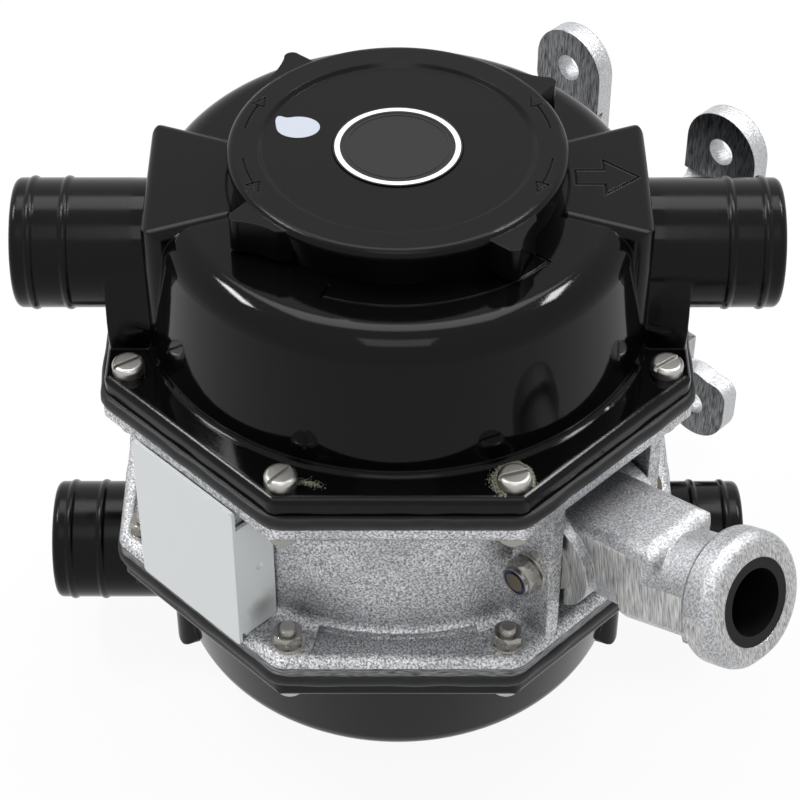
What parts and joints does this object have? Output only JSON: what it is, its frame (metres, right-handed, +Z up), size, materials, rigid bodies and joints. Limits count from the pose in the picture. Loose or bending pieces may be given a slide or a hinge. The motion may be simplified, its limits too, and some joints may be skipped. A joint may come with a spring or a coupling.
{
  "type": "manual bilge pump",
  "caption": "Double acting diaphragm bilge pump: cast body between two black chambers with barbed hose tails, turn-off caps, a rocking lever socket and bulkhead ears.",
  "frame": {"origin": "centre of the four ear holes, on the plane of the ears' mounting faces", "axes": "+X towards the lever socket, +Y into the bulkhead, +Z up along the pump's own axis"},
  "size_m": [0.2371, 0.2082, 0.198],
  "materials": {
    "cast_aluminium": "bead-blasted casting, fine grain",
    "machined_aluminium": "linished and machined casting",
    "white_plate": "white stove enamel",
    "chamber_plastic": "glossy black moulding",
    "cap_plastic": "satin black moulding, fine grain",
    "valve_plastic": "black moulding",
    "diaphragm_rubber": "dark moulded rubber",
    "flap_rubber": "dark moulded rubber",
    "seal_rubber": "moulded rubber ring",
    "liner_rubber": "black moulded liner",
    "badge_plastic": "blank disc with a pale ring",
    "stainless": "stainless steel",
    "spring_steel": "dark spring steel",
    "bush_plastic": "pale bearing plastic",
    "blue_nylon": "blue nylon locking ring"
  },
  "bodies": {
    "casing": {"centre_body": "cast_aluminium", "cover_plate": "white_plate", "upper_chamber": "chamber_plastic", "lower_chamber": "chamber_plastic", "upper_diaphragm": "diaphragm_rubber", "lower_diaphragm": "diaphragm_rubber", "upper_flange_screws": "stainless", "lower_flange_screws": "stainless", "upper_flange_nuts": "stainless", "lower_flange_nuts": "stainless", "upper_flange_washers": "stainless", "lower_flange_washers": "stainless", "upper_inlet_seat": "valve_plastic", "upper_outlet_seat": "valve_plastic", "lower_inlet_seat": "valve_plastic", "lower_outlet_seat": "valve_plastic", "upper_inlet_pin": "stainless", "upper_outlet_pin": "stainless", "lower_inlet_pin": "stainless", "lower_outlet_pin": "stainless", "pivot_sleeve": "stainless", "pivot_bolt": "stainless", "pivot_washers": "stainless", "pivot_nut": "stainless", "pivot_nut_insert": "blue_nylon"},
    "lever": {"lever": "machined_aluminium", "socket_liner": "liner_rubber", "pivot_bushes": "bush_plastic"},
    "shuttle": {"link": "machined_aluminium", "link_pin": "stainless", "link_pin_clip": "spring_steel", "upper_inner_plate": "stainless", "lower_inner_plate": "stainless", "upper_outer_plate": "stainless", "lower_outer_plate": "stainless", "upper_centre_bolt": "stainless", "lower_centre_bolt": "stainless"},
    "upper_cap": {"upper_cap": "cap_plastic", "upper_cap_seal": "seal_rubber", "upper_cap_badge": "badge_plastic"},
    "lower_cap": {"lower_cap": "cap_plastic", "lower_cap_seal": "seal_rubber", "lower_cap_badge": "badge_plastic"},
    "upper_inlet_flap": {"upper_inlet_flap": "flap_rubber"},
    "upper_outlet_flap": {"upper_outlet_flap": "flap_rubber"},
    "lower_inlet_flap": {"lower_inlet_flap": "flap_rubber"},
    "lower_outlet_flap": {"lower_outlet_flap": "flap_rubber"}
  },
  "joints": [
    {"name": "lever_rock", "type": "hinge", "parent": "casing", "child": "lever", "pos_m": [0.078, -0.117, 0], "axis": [0, 1, 0], "range_deg": [-14, 14]},
    {"name": "shuttle_slide", "type": "slide", "parent": "casing", "child": "shuttle", "axis": [0, 0, 1], "range_m": [-0.0195, 0.0195], "deforming": ["upper_diaphragm", "lower_diaphragm"]},
    {"name": "upper_cap_turn", "type": "hinge", "parent": "casing", "child": "upper_cap", "pos_m": [0, -0.117, 0.086], "axis": [0, 0, 1], "range_deg": [-45, 45]},
    {"name": "lower_cap_turn", "type": "hinge", "parent": "casing", "child": "lower_cap", "pos_m": [0, -0.117, -0.086], "axis": [0, 0, -1], "range_deg": [-45, 45]},
    {"name": "upper_inlet_flap_swing", "type": "hinge", "parent": "casing", "child": "upper_inlet_flap", "pos_m": [-0.0321, -0.1491, 0.0774], "axis": [0.7071, -0.7071, 0], "range_deg": [0, 28], "stiffness_Nm_per_rad": 0.01, "springref_deg": -28.65},
    {"name": "upper_outlet_flap_swing", "type": "hinge", "parent": "casing", "child": "upper_outlet_flap", "pos_m": [0.04002, -0.07698, 0.0774], "axis": [0.7071, -0.7071, 0], "range_deg": [0, 28], "stiffness_Nm_per_rad": 0.01, "springref_deg": -28.65},
    {"name": "lower_inlet_flap_swing", "type": "hinge", "parent": "casing", "child": "lower_inlet_flap", "pos_m": [-0.0321, -0.1491, -0.0774], "axis": [-0.7071, 0.7071, 0], "range_deg": [0, 28], "stiffness_Nm_per_rad": 0.01, "springref_deg": -28.65},
    {"name": "lower_outlet_flap_swing", "type": "hinge", "parent": "casing", "child": "lower_outlet_flap", "pos_m": [0.04002, -0.07698, -0.0774], "axis": [-0.7071, 0.7071, 0], "range_deg": [0, 28], "stiffness_Nm_per_rad": 0.01, "springref_deg": -28.65}
  ],
  "couplings": [
    {"joint": "shuttle_slide", "follows": "lever_rock", "m_per_rad": 0.0793}
  ]
}
